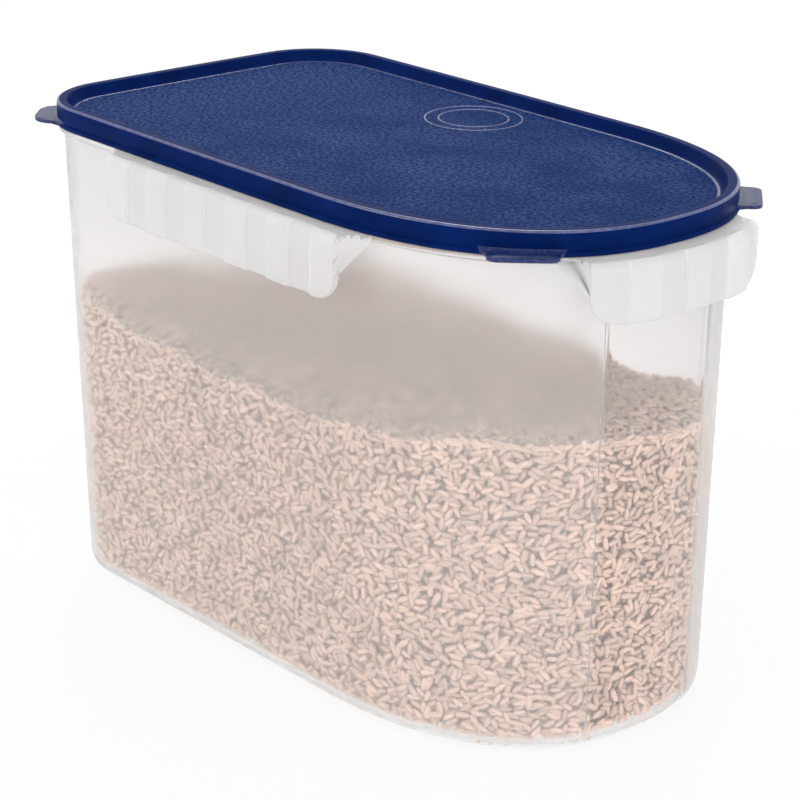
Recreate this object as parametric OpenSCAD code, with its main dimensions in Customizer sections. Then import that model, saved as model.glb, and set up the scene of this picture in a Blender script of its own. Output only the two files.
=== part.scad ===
// Rice bin: a frosted container with a rounded nose, three moulded hand grips
// and a recessed press-on lid with a pull tab at each corner.
// The origin is at the middle of the base, +X points to the rounded nose and +Z points up.

/* [Overall] */
// Length of the lid over its skirt
lid_l = 283; // [250:1:320]
// Width of the lid over its skirt
lid_w = 160; // [140:1:190]
// Height from the base to the top edge of the lid
total_h = 200; // [150:1:240]

/* [Plan shape] */
// Radius of the two rear corners of the lid
rear_r = 33; // [24:0.5:45]
// Length of the rounded nose, ahead of the straight sides
nose_l = 102; // [70:1:115]
// Roundness of the nose, where 2 is an ellipse
nose_power = 2.31; // [2:0.01:2.8]
// How much the sides draw in towards the rear
side_bow = 0.8; // [0:0.1:3]
// How much the rear edge bulges in its middle
rear_bow = 0.9; // [0:0.1:3]

/* [Container] */
// Thickness of the side walls
wall_t = 1.8; // [1.2:0.1:3]
// Thickness of the floor
floor_t = 2.4; // [1.6:0.1:4]
// How far the wall stands in from the skirt of the lid
wall_in = 2.8; // [2.4:0.1:4]
// Lean of each side wall between flange and base
side_draft = 2.1; // [0:0.1:8]
// Lean of the rear wall between flange and base
rear_draft = 10.9; // [0:0.1:18]
// Lean of the nose between flange and base
nose_draft = 0.4; // [0:0.1:8]
// Radius of the rear corners at the base
base_r = 26; // [20:0.5:40]
// Radius of the edge round the base
foot_r = 7.5; // [4:0.5:14]
// Half the width of the clear panel in the nose
panel_half = 26.5; // [15:0.5:40]
// Depth of the clear panel in the nose
panel_depth = 0.6; // [0.2:0.1:1]

/* [Rim and flange] */
// Thickness of the flange and of the ledges over the grips
flange_t = 2; // [1.8:0.1:3]
// How far the edge of the flange stands in from the skirt of the lid
flange_in = 0.6; // [0:0.1:1.2]

/* [Hand grips] */
// How far a side grip stands out past the skirt of the lid
side_grip_out = 7.6; // [5:0.1:14]
// How far the front grip stands out past the skirt of the lid
front_grip_out = 9; // [5:0.1:14]
// Length of each side grip
side_grip_l = 135; // [110:1:150]
// Place of the middle of the side grips along the container
side_grip_x = -5; // [-12:0.5:6]
// Width of the front grip across the container
front_grip_w = 76; // [66:1:90]
// Depth of the hanging apron of a side grip
apron_h = 24.5; // [14:0.5:34]
// Depth of the hanging apron of the front grip
front_apron_h = 22; // [14:0.5:34]
// Thickness of an apron
apron_t = 1.6; // [1.2:0.1:1.7]
// Radius of the lower corners of an apron
apron_r = 8; // [3:0.5:10]
// Radius of the hollow corner between a ledge and the flange
ledge_r = 8; // [7:0.5:16]
// Height of the finger ribs on an apron
rib_out = 1.3; // [0.6:0.1:2]
// Number of finger ribs on a side grip
side_ribs = 6; // [3:1:6]
// Width of a finger rib on a side grip
side_rib_w = 11; // [7:0.5:12]
// Spacing of the finger ribs on a side grip
side_rib_pitch = 24.2; // [20:0.1:24.5]
// Width of a finger rib on the front grip
front_rib_w = 10.6; // [7:0.1:11]
// Spacing of the three finger ribs on the front grip
front_rib_pitch = 21.3; // [16:0.1:24]

/* [Lid] */
// Height of the skirt
skirt_h = 9.2; // [7:0.1:14]
// Thickness of the skirt and of the inner wall of the lid
lid_t = 1.3; // [1:0.1:1.6]
// Width of the rounded band round the top of the lid
band_w = 4.4; // [4.2:0.1:6]
// Radius of the edges of the band
band_r = 1; // [0.4:0.1:1.2]
// Lean of the inner wall, from the band to the panel
well_draft = 1; // [0.4:0.1:2]
// Depth of the recessed panel below the band
well_depth = 4.6; // [3:0.1:6]
// Thickness of the recessed panel
lid_panel_t = 1.5; // [1:0.1:2.5]
// Height of the bead round the foot of the skirt
lip_h = 1.7; // [1:0.1:3]
// How far the bead stands out from the skirt
lip_out = 0.6; // [0.3:0.1:1.5]
// Gap between the lid and the container
fit_gap = 0.3; // [0.2:0.05:0.5]

/* [Pull tabs] */
// How far a pull tab stands out from the skirt
tab_out = 8.6; // [5:0.1:14]
// Width of a pull tab at its outer edge
tab_w = 25; // [14:0.5:30]
// Extra width of a pull tab on each side at its root
tab_flare = 2.5; // [0:0.1:6]
// Thickness of a pull tab
tab_t = 1.6; // [1:0.1:2.5]
// Radius of the outer corners of a pull tab
tab_r = 5; // [2:0.5:6]
// Place of the front tabs round the nose, in degrees from its tip
tab_place_angle = 40; // [30:1:50]
// Direction of the front tabs, in degrees from the nose
tab_turn_angle = 42; // [35:1:50]

/* [Hidden] */

// Heights
lid_top = total_h;
skirt_foot = lid_top - skirt_h;
flange_top = skirt_foot - fit_gap;
flange_foot = flange_top - flange_t;
rim_top = lid_top - lid_t - fit_gap;
well_floor = lid_top - well_depth;
well_under = well_floor - lid_panel_t;
apron_foot = flange_top - apron_h;
front_apron_foot = flange_top - front_apron_h;

// Insets from the skirt of the lid
rim_out_in = lid_t + fit_gap;
rim_in_in = band_w - lid_t - fit_gap;
well_in = band_w + well_draft;
half_l = lid_l / 2;
half_w = lid_w / 2;
nose_x = half_l - nose_l;

// Numbers of steps round the plan
rear_n = 3;
corner_n = 7;
side_n = 6;
nose_n = 15;
tip_n = 5;
step_w = 0.7;
edge_n = 4;

// Colours
frosted = [0.93, 0.92, 0.90, 0.55];
frosted_edge = [0.90, 0.90, 0.90, 0.75];
navy = [0.02, 0.10, 0.32];
navy_panel = [0.12, 0.20, 0.42];

function clamp01(t) = min(max(t, 0), 1);
function ease(t) = let (c = clamp01(t)) c * c * (3 - 2 * c);
function total(v, i = 0) = i < len(v) ? v[i] + total(v, i + 1) : 0;

// The slight bow of the long sides and of the rear edge
function bowed(p) =
    let (back = pow(clamp01((nose_x - p.x) / (nose_x + half_l)), 2))
    [p.x + rear_bow * pow(p.y / half_w, 2) * back, p.y * (1 - side_bow / half_w * back)];

// A point of the nose at angle t from its tip, for a half width h and a length b
function nose_point(t, h, b) =
    [nose_x + b * pow(cos(t), 2 / nose_power), -h * pow(sin(t), 2 / nose_power)];

// The angle at which the nose is y wide to one side
function nose_angle(y, h) = asin(pow(y / h, nose_power / 2));

// The right-hand half of a plan, from the middle of the rear edge to the tip of the nose
function half_plan(side_in, rear_in, nose_in, r, dip) =
    let (h = half_w - side_in, rx = half_l - rear_in, b = nose_l - nose_in,
         crease = nose_angle(panel_half, h), inner = nose_angle(panel_half - step_w, h))
    concat(
        [for (i = [0:rear_n - 1]) [-rx, -(h - r) * i / rear_n]],
        [for (i = [0:corner_n])
            let (a = 180 + 90 * i / corner_n)
            [r - rx + r * cos(a), r - h + r * sin(a)]],
        [for (i = [1:side_n]) [r - rx + (nose_x + rx - r) * i / side_n, -h]],
        [for (i = [1:nose_n]) nose_point(90 - (90 - crease) * i / nose_n, h, b)],
        [for (i = [0:tip_n]) nose_point(inner * (1 - i / tip_n), h, b - dip)]);

// A whole plan, counter-clockwise
function plan(side_in, rear_in, nose_in, r, dip = 0) =
    let (half = [for (p = half_plan(side_in, rear_in, nose_in, r, dip)) bowed(p)])
    concat(half, [for (i = [len(half) - 2:-1:1]) [half[i].x, -half[i].y]]);

// The plan of the lid's skirt, drawn in evenly
function inset_plan(in) = plan(in, in, in, rear_r - in);
function ring(points, z) = [for (p = points) [p.x, p.y, z]];

// The outside of the container at height z, drawn in by extra
function wall_plan(z, extra = 0) =
    let (down = clamp01((flange_foot - z) / flange_foot),
         r = rear_r - wall_in + (base_r - rear_r + wall_in) * down)
    plan(wall_in + side_draft * down + extra, wall_in + rear_draft * down + extra,
         wall_in + nose_draft * down + extra, r - extra, panel_depth * ease(down * 12));

// A solid through a stack of rings with equal numbers of points
module loft(rings, looped = false) {
    n = len(rings[0]);
    m = len(rings);
    last = looped ? m - 1 : m - 2;
    sides = [for (j = [0:last]) for (i = [0:n - 1])
        let (a = j * n + i, b = j * n + (i + 1) % n,
             c = ((j + 1) % m) * n + (i + 1) % n, d = ((j + 1) % m) * n + i)
        each [[a, d, c], [a, c, b]]];
    caps = looped ? [] : [[for (i = [0:n - 1]) i], [for (i = [n - 1:-1:0]) (m - 1) * n + i]];
    polyhedron(points = [for (r = rings) each r], faces = concat(sides, caps));
}

// Raised ribs along a grip: how much of a rib there is at place v
rib_step = 0.8;
function rib_at(v, ribs, pitch, width) =
    total([for (k = [0:ribs - 1])
        let (middle = (k - (ribs - 1) / 2) * pitch)
        clamp01((width / 2 + rib_step - abs(v - middle)) / rib_step)]);

// The places along a grip where a rib starts and ends
function rib_places(ribs, pitch, width) =
    [for (k = [0:ribs - 1]) for (e = [-width / 2 - rib_step, -width / 2, width / 2, width / 2 + rib_step])
        (k - (ribs - 1) / 2) * pitch + e];

// One end of a ledge, as place along the grip and distance past the skirt: a hollow arc
// that runs from the flange to the corner of the ledge
ramp_n = 5;
ledge_bury = 0.4;
function ledge_end(half, out) =
    let (rise = out + flange_in, sweep = acos(1 - rise / ledge_r))
    concat([[half + ledge_r * sin(sweep), -flange_in - ledge_bury]],
        [for (i = [1:ramp_n])
            let (a = sweep * i / ramp_n)
            [half + ledge_r * (sin(sweep) - sin(a)), ledge_r * (1 - cos(a)) - flange_in]]);

// The outline of a ledge up to its fold, with the same places along it as the apron has
function ledge_edge(half, out, places) =
    let (tip = ledge_end(half, out))
    concat([for (p = tip) [-p[0], p[1]]],
        [for (p = places) if (abs(p[0]) < half - 0.01) [p[0], out]],
        [for (i = [len(tip) - 1:-1:0]) tip[i]]);

// Places along a grip, each with how much of a rib stands there
front_ribs = 3;
front_n = 4;
function side_places() =
    let (hi = side_grip_l / 2, places = rib_places(side_ribs, side_rib_pitch, side_rib_w))
    concat([[-hi, rib_at(hi, side_ribs, side_rib_pitch, side_rib_w)]],
        [for (v = places) if (abs(v) < hi - 0.01) [v, rib_at(v, side_ribs, side_rib_pitch, side_rib_w)]],
        [[hi, rib_at(hi, side_ribs, side_rib_pitch, side_rib_w)]]);
function front_places() =
    let (hi = front_grip_w / 2, places = rib_places(front_ribs, front_rib_pitch, front_rib_w))
    concat([for (i = [0:front_n - 1]) [-hi + (places[0] + hi) * i / front_n, 0]],
        [for (v = places) [v, rib_at(v, front_ribs, front_rib_pitch, front_rib_w)]],
        [for (i = [front_n - 1:-1:0]) [hi - (places[0] + hi) * i / front_n, 0]]);

// A point that stands out by d from the skirt on the right-hand side, at place v
function side_out(v, d) = bowed([side_grip_x + v, -half_w - d]);

// A point that stands out by d from the nose of the skirt, at place v across
function front_out(v, d) =
    let (share = 1 - pow(abs(v) / half_w, nose_power),
         x = nose_l * pow(share, 1 / nose_power),
         slope_x = pow(x / nose_l, nose_power - 1) / nose_l,
         slope_y = sign(v) * pow(abs(v) / half_w, nose_power - 1) / half_w,
         size = norm([slope_x, slope_y]))
    [nose_x + x + d * slope_x / size, v + d * slope_y / size];

// Plans of the ledges, up to where they fold down into the aprons
function side_ledge_points() =
    let (edge = ledge_edge(side_grip_l / 2, side_grip_out - apron_t, side_places()),
         reach = edge[len(edge) - 1][0],
         back = half_w - wall_in - ledge_r)
    concat([for (e = edge) side_out(e[0], e[1])],
        [[side_grip_x + reach, -back], [side_grip_x - reach, -back]]);
function front_ledge_points() =
    let (edge = ledge_edge(front_grip_w / 2, front_grip_out - apron_t, front_places()))
    concat([for (e = edge) front_out(e[0], e[1])], [[nose_x, 0]]);
function other_side(points) = [for (i = [len(points) - 1:-1:0]) [points[i].x, -points[i].y]];

// Frosted container: drafted walls, a rounded foot, a floor and the rim inside the lid
module container_shell() {
    foot_steps = [for (i = [0:edge_n]) 90 * i / edge_n];
    inner_r = foot_r - wall_t;
    outside = concat(
        [for (a = foot_steps) ring(wall_plan(foot_r * (1 - cos(a)), foot_r * (1 - sin(a))), foot_r * (1 - cos(a)))],
        [ring(wall_plan(flange_foot * 11 / 12), flange_foot * 11 / 12),
         ring(wall_plan(flange_foot), flange_foot),
         ring(inset_plan(wall_in), flange_top),
         ring(inset_plan(rim_out_in), flange_top + wall_in - rim_out_in),
         ring(inset_plan(rim_out_in), rim_top - step_w),
         ring(inset_plan(rim_out_in + step_w / 2), rim_top)]);
    inside = concat(
        [ring(inset_plan(rim_in_in - step_w / 2), rim_top),
         ring(inset_plan(rim_in_in), rim_top - step_w),
         ring(inset_plan(rim_in_in), flange_top + wall_in),
         ring(wall_plan(flange_foot, wall_t), flange_foot),
         ring(wall_plan(flange_foot * 11 / 12, wall_t), flange_foot * 11 / 12)],
        [for (i = [edge_n:-1:0])
            let (a = foot_steps[i], z = floor_t + inner_r * (1 - cos(a)))
            ring(wall_plan(z, wall_t + inner_r * (1 - sin(a))), z)]);
    color(frosted) loft(concat(outside, inside));
}

// Flange under the lid, widened to a ledge over each grip
module rim_flange() {
    color(frosted_edge)
        translate([0, 0, flange_foot])
        linear_extrude(flange_t)
        difference() {
            union() {
                polygon(inset_plan(flange_in));
                polygon(side_ledge_points());
                polygon(other_side(side_ledge_points()));
                polygon(front_ledge_points());
            }
            polygon(inset_plan(wall_in));
        }
}

// The elevation of an apron: a plate with two rounded lower corners
module apron_outline(length, foot) {
    hull_x = length / 2 - apron_r;
    polygon(concat(
        [for (i = [0:edge_n * 2])
            let (a = 180 + 90 * i / (edge_n * 2))
            [-hull_x + apron_r * cos(a), foot + apron_r + apron_r * sin(a)]],
        [for (i = [0:edge_n * 2])
            let (a = 270 + 90 * i / (edge_n * 2))
            [hull_x + apron_r * cos(a), foot + apron_r + apron_r * sin(a)]],
        [[length / 2, flange_top + 1], [-length / 2, flange_top + 1]]));
}

// The plan of an apron with its outer face at d past the skirt. The back follows the ribs
// in the hanging part and is plain where it meets the ledge.
function backwards(points) = [for (i = [len(points) - 1:-1:0]) points[i]];
function side_band(d, ribbed_back) =
    concat([for (p = side_places()) side_out(p[0], d + rib_out * p[1])],
        [for (p = backwards(side_places()))
            side_out(p[0], side_grip_out - apron_t + (ribbed_back ? rib_out * p[1] : 0))]);
function front_band(d, ribbed_back) =
    concat([for (p = front_places()) front_out(p[0], d + rib_out * p[1])],
        [for (p = backwards(front_places()))
            front_out(p[0], front_grip_out - apron_t + (ribbed_back ? rib_out * p[1] : 0))]);

// The rounded fold between ledge and apron, as steps of height and of drawing in
fold_foot = flange_top - apron_t;
function fold_top(i) = fold_foot + apron_t * sin(90 * i / edge_n);
function fold_in(i) = apron_t * (1 - cos(90 * (i - 0.5) / edge_n));

// Ribbed apron that folds down from the edge of a side ledge
module side_apron() {
    intersection() {
        union() {
            translate([0, 0, apron_foot])
                linear_extrude(fold_foot - apron_foot)
                polygon(side_band(side_grip_out, true));
            for (i = [1:edge_n])
                translate([0, 0, flange_foot])
                    linear_extrude(fold_top(i) - flange_foot)
                    polygon(side_band(side_grip_out - fold_in(i), false));
        }
        translate([side_grip_x, 0, 0])
            rotate([90, 0, 0])
            linear_extrude(lid_w)
            apron_outline(side_grip_l, apron_foot);
    }
}

module grip_apron_right() {
    color(frosted_edge) side_apron();
}

module grip_apron_left() {
    color(frosted_edge) mirror([0, 1, 0]) side_apron();
}

// Ribbed apron that folds down from the edge of the front ledge and follows the nose
module grip_apron_front() {
    span = 2 * front_out(front_grip_w / 2, front_grip_out).y;
    color(frosted_edge) intersection() {
        union() {
            translate([0, 0, front_apron_foot])
                linear_extrude(fold_foot - front_apron_foot)
                polygon(front_band(front_grip_out, true));
            for (i = [1:edge_n])
                translate([0, 0, flange_foot])
                    linear_extrude(fold_top(i) - flange_foot)
                    polygon(front_band(front_grip_out - fold_in(i), false));
        }
        rotate([90, 0, 90])
            linear_extrude(lid_l)
            apron_outline(span, front_apron_foot);
    }
}

// Rim of the lid: a bead, the skirt, the rounded band and the inner wall, over the container's rim
module lid_rim() {
    turn = [for (i = [0:edge_n]) 90 * i / edge_n];
    ceiling = lid_top - lid_t;
    profile = concat(
        [[0, skirt_foot], [-lip_out, skirt_foot + lip_out], [-lip_out, skirt_foot + lip_h - lip_out],
         [0, skirt_foot + lip_h]],
        [for (a = turn) [band_r * (1 - cos(a)), lid_top - band_r * (1 - sin(a))]],
        [for (a = turn) [band_w - band_r * (1 - sin(a)), lid_top - band_r * (1 - cos(a))]],
        [[well_in, well_floor], [well_in, well_under], [well_in - lid_t, well_under],
         [band_w - lid_t, ceiling], [lid_t, ceiling], [lid_t, skirt_foot]]);
    color(navy) loft([for (p = profile) ring(inset_plan(p[0]), p[1])], true);
}

// Recessed panel of the lid
module lid_panel() {
    color(navy_panel) translate([0, 0, well_under]) linear_extrude(lid_panel_t) polygon(inset_plan(well_in));
}

// A pull tab along +X, with its root at the origin
module tab_plan() {
    reach = tab_out + tab_r;
    arc = [for (i = [0:edge_n * 2]) 90 * i / (edge_n * 2)];
    right = [for (a = arc) [tab_out - tab_r * (1 - sin(a)), tab_r - tab_w / 2 - tab_r * cos(a)]];
    polygon(concat(
        [[-reach, -tab_w / 2 - tab_flare], [-tab_r / 2, -tab_w / 2 - tab_flare]],
        right,
        [for (i = [len(right) - 1:-1:0]) [right[i].x, -right[i].y]],
        [[-tab_r / 2, tab_w / 2 + tab_flare], [-reach, tab_w / 2 + tab_flare]]));
}

tab_foot = skirt_foot + lip_out;
module tab_at(place, turn) {
    color(navy) translate([0, 0, tab_foot]) linear_extrude(tab_t) difference() {
        translate(place) rotate(turn) tab_plan();
        polygon(inset_plan(-lip_out));
    }
}

rear_mid = bowed([rear_r * (1 - sqrt(0.5)) - half_l, rear_r * (1 - sqrt(0.5)) - half_w]);
front_mid = nose_point(tab_place_angle, half_w, nose_l);

module tab_rear_right() {
    tab_at(rear_mid, 225);
}

module tab_rear_left() {
    mirror([0, 1, 0]) tab_at(rear_mid, 225);
}

module tab_front_right() {
    tab_at(front_mid, -tab_turn_angle);
}

module tab_front_left() {
    mirror([0, 1, 0]) tab_at(front_mid, -tab_turn_angle);
}

container_shell();
rim_flange();
grip_apron_right();
grip_apron_left();
grip_apron_front();
lid_rim();
lid_panel();
tab_rear_right();
tab_rear_left();
tab_front_right();
tab_front_left();
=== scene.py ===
"""Looks of the rice bin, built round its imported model: a frosted container with ribbed hand grips,
a navy press-on lid with pull tabs, and the brown rice inside."""

import math
import random

import bmesh
import bpy
import numpy as np
from bpy.props import BoolProperty, FloatProperty, FloatVectorProperty, IntProperty, PointerProperty
from mathutils import Matrix, Vector


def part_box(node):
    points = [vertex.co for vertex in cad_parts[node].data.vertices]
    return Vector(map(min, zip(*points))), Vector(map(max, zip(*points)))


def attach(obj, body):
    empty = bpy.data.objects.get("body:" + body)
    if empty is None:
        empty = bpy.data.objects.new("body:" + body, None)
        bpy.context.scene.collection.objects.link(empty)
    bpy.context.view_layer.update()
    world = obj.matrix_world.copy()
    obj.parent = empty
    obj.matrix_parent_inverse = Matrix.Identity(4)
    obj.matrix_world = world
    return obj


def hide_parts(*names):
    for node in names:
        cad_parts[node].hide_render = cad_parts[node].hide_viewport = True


bl_info = {
    "name": "Rice bin",
    "version": (1, 0, 0),
    "blender": (4, 5, 0),
    "location": "3D View > Sidebar > Rice bin",
    "description": "Builds a frosted rice bin with its lid, its rice and a plain studio",
    "category": "Add Mesh",
}

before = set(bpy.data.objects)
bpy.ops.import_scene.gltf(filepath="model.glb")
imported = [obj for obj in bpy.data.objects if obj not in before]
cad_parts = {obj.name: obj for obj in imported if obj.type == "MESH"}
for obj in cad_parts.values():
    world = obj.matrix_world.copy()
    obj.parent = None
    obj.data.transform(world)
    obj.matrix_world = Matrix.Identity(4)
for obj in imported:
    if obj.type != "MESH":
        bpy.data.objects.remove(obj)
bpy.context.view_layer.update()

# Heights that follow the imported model
LID_LOW, LID_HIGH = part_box("lid_rim")
PANEL_LOW, PANEL_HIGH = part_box("lid_panel")
FLANGE_LOW, FLANGE_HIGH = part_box("rim_flange")
TAB_LOW, TAB_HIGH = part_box("tab_front_right")
LID_TOP = LID_HIGH.z
SKIRT_FOOT = LID_LOW.z
WELL_FLOOR = PANEL_HIGH.z
WELL_UNDER = PANEL_LOW.z
FLANGE_TOP = FLANGE_HIGH.z
FLANGE_FOOT = FLANGE_LOW.z
RIM_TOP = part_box("container_shell")[1].z
SIDE_GRIP_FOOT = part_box("grip_apron_right")[0].z
FRONT_GRIP_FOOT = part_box("grip_apron_front")[0].z

RIGHT_ANGLE = math.pi / 2
SMOOTH_ANGLE = math.radians(38)
WHITE = (1.0, 1.0, 1.0)


def length(name, description, default):
    return FloatProperty(name=name, description=description, default=default, unit="LENGTH", precision=5)


def share(name, description, default):
    return FloatProperty(name=name, description=description, default=default, min=0, max=1)


def colour(name, description, default):
    return FloatVectorProperty(name=name, description=description, default=default, size=3,
                               min=0, max=1, subtype="COLOR")


class RiceBinPlan(bpy.types.PropertyGroup):
    lid_length: length("Lid length", "Length of the lid over its skirt", 0.283)
    lid_width: length("Lid width", "Width of the lid over its skirt", 0.160)
    rear_radius: length("Rear radius", "Radius of the two rear corners of the lid", 0.033)
    nose_length: length("Nose length", "Length of the rounded nose ahead of the straight sides", 0.102)
    nose_power: FloatProperty(name="Nose roundness", description="Where 2 is an ellipse", default=2.31)
    side_bow: length("Side bow", "How much the sides draw in towards the rear", 0.0008)
    rear_bow: length("Rear bow", "How much the rear edge bulges in its middle", 0.0009)
    panel_half: length("Panel half width", "Half the width of the clear panel in the nose", 0.0265)
    panel_step: length("Panel step", "Width of the step round the clear panel", 0.0012)


class RiceBinContainer(bpy.types.PropertyGroup):
    wall: length("Wall", "Thickness of the side walls", 0.0018)
    floor: length("Floor", "Thickness of the floor", 0.0024)
    wall_inset: length("Wall inset", "How far the wall stands in from the skirt", 0.0028)
    side_lean: length("Side lean", "Lean of each side wall", 0.0021)
    rear_lean: length("Rear lean", "Lean of the rear wall", 0.0109)
    nose_lean: length("Nose lean", "Lean of the nose", 0.0004)
    base_radius: length("Base radius", "Radius of the rear corners at the base", 0.026)
    foot_radius: length("Foot radius", "Radius of the edge round the base", 0.0075)
    panel_depth: length("Panel depth", "Depth of the clear panel in the nose", 0.0006)
    flange_inset: length("Flange inset", "How far the flange stands in from the skirt", 0.0006)
    rim_outer_inset: length("Rim outer inset", "Outside of the rim, in from the skirt", 0.0016)
    rim_inner_inset: length("Rim inner inset", "Inside of the rim, in from the skirt", 0.0028)
    tint: colour("Tint", "Colour of the milky plastic", (1.0, 0.994, 0.989))
    clearness: share("Clearness", "Share of light that passes the frosted plastic", 0.86)
    milkiness: share("Milkiness", "Share of the light from behind that the plastic scatters", 0.05)
    window_clearness: share("Window clearness", "Clearness of the panel in the nose", 0.91)
    window_milkiness: share("Window milkiness", "Milkiness of the panel in the nose", 0.03)


class RiceBinGrips(bpy.types.PropertyGroup):
    side_out: length("Side reach", "How far a side grip stands out past the skirt", 0.0076)
    front_out: length("Front reach", "How far the front grip stands out past the skirt", 0.009)
    side_length: length("Side length", "Length of each side grip", 0.135)
    side_middle: length("Side middle", "Place of the middle of the side grips", -0.005)
    front_width: length("Front width", "Width of the front grip", 0.076)
    thickness: length("Thickness", "Thickness of the folded sheet", 0.0016)
    fold_radius: length("Fold radius", "Radius of the fold between ledge and apron", 0.0032)
    corner_radius: length("Corner radius", "Radius of the lower corners", 0.0095)
    root_radius: length("Root radius", "Radius of the hollow corner at the flange", 0.008)
    rib_height: length("Rib height", "Height of the finger ribs", 0.0015)
    rib_edge: length("Rib edge", "Width of the slope at each edge of a rib", 0.0006)
    side_rib_width: length("Side rib width", "Width of a finger rib on a side grip", 0.011)
    side_rib_pitch: length("Side rib pitch", "Spacing of the ribs on a side grip", 0.0242)
    front_rib_width: length("Front rib width", "Width of a finger rib on the front grip", 0.0106)
    front_rib_pitch: length("Front rib pitch", "Spacing of the ribs on the front grip", 0.0213)
    cover: share("Cover", "Share of light that the milky plastic of the grips stops", 0.52)
    glow: share("Glow", "Share of the light from behind that the grips scatter", 0.2)
    greyness: share("Greyness", "Brightness of the grips against the wall's tint", 0.93)
    side_ribs: IntProperty(name="Side ribs", description="Ribs on each side grip", default=6)
    front_ribs: IntProperty(name="Front ribs", description="Ribs on the front grip", default=3)


class RiceBinLid(bpy.types.PropertyGroup):
    thickness: length("Thickness", "Thickness of the skirt", 0.0013)
    band: length("Band", "Width of the rounded band round the top", 0.0044)
    band_radius: length("Band radius", "Radius of the edges of the band", 0.001)
    well_lean: length("Well lean", "Lean of the inner wall of the lid", 0.001)
    fillet: length("Fillet", "Radius between the inner wall and the panel", 0.0022)
    bead_height: length("Bead height", "Height of the bead at the foot of the skirt", 0.0017)
    bead_out: length("Bead reach", "How far the bead stands out", 0.0006)
    ring_radius: length("Ring radius", "Outer radius of the plain raised rings", 0.0195)
    navy: colour("Navy", "Colour of the rim and the tabs", (0.0014, 0.0115, 0.082))
    # The edges' navy is paler than the rim's: a painted highlight along the rounded edges
    highlight_navy: colour("Edge navy", "Colour of the polished edges", (0.05, 0.066, 0.18))
    # Painted shade in the panel's pits and painted light on its grain
    panel_navy: colour("Panel navy", "Colour of the recessed panel in its pits", (0.003, 0.015, 0.088))
    panel_grain_highlight: colour("Panel bloom", "Colour of the recessed panel on its grain", (0.009, 0.042, 0.17))
    # The paler grain of the random patches and of the painted sheen towards the rear
    sheen_and_patch_grain: colour("Worn bloom", "Colour of the grain where it is rubbed", (0.050, 0.085, 0.205))
    # Paler than the rim's navy: the tabs' grain with a painted sheen
    tab_sheen_navy: colour("Tab navy", "Colour of the grain on the pull tabs", (0.032, 0.046, 0.135))


class RiceBinTabs(bpy.types.PropertyGroup):
    reach: length("Reach", "How far a tab stands out from the skirt", 0.0086)
    width: length("Width", "Width of a tab at its outer edge", 0.025)
    flare: length("Flare", "Extra width on each side at the root", 0.003)
    rear_flare: length("Rear flare", "Extra width on each side at the root of a rear tab", 0.0065)
    front_corner: length("Front corner", "Radius of the outer corners of the front tabs", 0.004)
    rear_corner: length("Rear corner", "Radius of the outer corners of the rear tabs", 0.0085)
    pad_margin: length("Pad margin", "Plain margin round the raised pad", 0.0022)
    pad_height: length("Pad height", "Height of the raised pad", 0.0003)
    root_height: length("Root height", "How far the hollow root climbs up the skirt", 0.0016)
    root_reach: length("Root reach", "How far the hollow root reaches out over the tab", 0.0032)


class RiceBinRice(bpy.types.PropertyGroup):
    filled: BoolProperty(name="Filled", description="Fill the bin with rice", default=True)
    level: length("Level", "Height of the rice in the middle of the bin", 0.113)
    grain_length: length("Grain length", "Length of a grain", 0.0052)
    grain_width: length("Grain width", "Width of a grain", 0.0021)
    layers: IntProperty(name="Layers", description="Layers of grains over the core", default=2)
    seed: IntProperty(name="Seed", description="Seed of the grains' places", default=7)
    husk: colour("Husk", "Colour of a grain", (0.68, 0.48, 0.385))
    germ: colour("Germ", "Colour of the darker tips", (0.34, 0.19, 0.10))
    # Painted shade: the core's colour, darker than the grains, stands for the shade deep among them
    shade: colour("Shade", "Colour of the rice deep between the grains", (0.36, 0.235, 0.17))


class RiceBinStudio(bpy.types.PropertyGroup):
    lens: FloatProperty(name="Lens", description="Focal length in millimetres", default=111.79)
    floor_size: length("Floor size", "Size of the plain floor", 6.0)
    backdrop: colour("Backdrop", "Colour of the floor and of what is behind", (1.0, 1.0, 1.0))


class RiceBinSettings(bpy.types.PropertyGroup):
    plan: PointerProperty(type=RiceBinPlan)
    container: PointerProperty(type=RiceBinContainer)
    grips: PointerProperty(type=RiceBinGrips)
    lid: PointerProperty(type=RiceBinLid)
    tabs: PointerProperty(type=RiceBinTabs)
    rice: PointerProperty(type=RiceBinRice)
    studio: PointerProperty(type=RiceBinStudio)


# The outline of the bin seen from above

REAR_STEPS = 5
CORNER_STEPS = 12
SIDE_STEPS = 14
NOSE_STEPS = 44
CREASE_STEPS = 4
TIP_STEPS = 14
# The clear panel of the nose sinks in over this share of the wall's height, from the flange down
PANEL_FADE = 1 / 12


def clamped(value):
    return min(max(value, 0.0), 1.0)


def eased(value):
    inside = clamped(value)
    return inside * inside * (3 - 2 * inside)


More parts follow.
